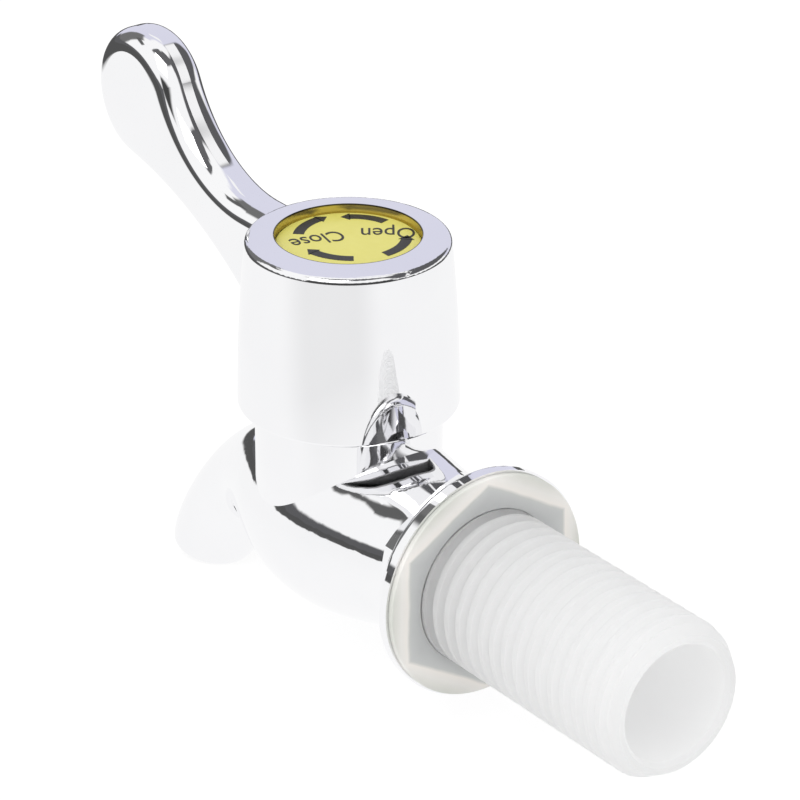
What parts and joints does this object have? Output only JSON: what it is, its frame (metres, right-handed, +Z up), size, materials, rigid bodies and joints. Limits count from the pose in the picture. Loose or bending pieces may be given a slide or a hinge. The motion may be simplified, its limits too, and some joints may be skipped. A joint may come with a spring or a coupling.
{
  "type": "bottle tap",
  "caption": "Quarter-turn plug tap with a thumb lever over a bent spout and a threaded tail with a flange washer, for the wall of a bottle or dispenser.",
  "frame": {"origin": "on the tail's axis, in the outer face of the flange's washer, which seats on the bottle's wall", "axes": "+X along the tail, into the bottle; +Z up along the plug's axis, towards the cap; the spout and the lever point along -X"},
  "size_m": [0.0927, 0.0236, 0.056],
  "materials": {
    "chrome": "polished",
    "tail_plastic": "satin",
    "silicone": "satin",
    "seal_rubber": "satin",
    "valve_plastic": "satin",
    "stainless": "satin",
    "disc_yellow": "gloss"
  },
  "bodies": {
    "tap_body": {"valve_body": "chrome", "tail_tube": "tail_plastic", "tail_o_ring": "seal_rubber", "flange_washer": "silicone", "inlet_seat": "silicone", "outlet_seat": "silicone", "thrust_washer": "valve_plastic", "gland_nut": "valve_plastic", "gland_o_ring": "seal_rubber"},
    "turning_handle": {"handle": "chrome", "handle_screw": "stainless", "screw_washer": "stainless", "indicator_disc": "disc_yellow", "rotor_plug": "valve_plastic", "upper_o_ring": "seal_rubber", "lower_o_ring": "seal_rubber"}
  },
  "joints": [
    {"name": "handle_turn", "type": "hinge", "parent": "tap_body", "child": "turning_handle", "pos_m": [-0.0227, 0, 0], "axis": [0, 0, 1], "range_deg": [0, 90]}
  ]
}
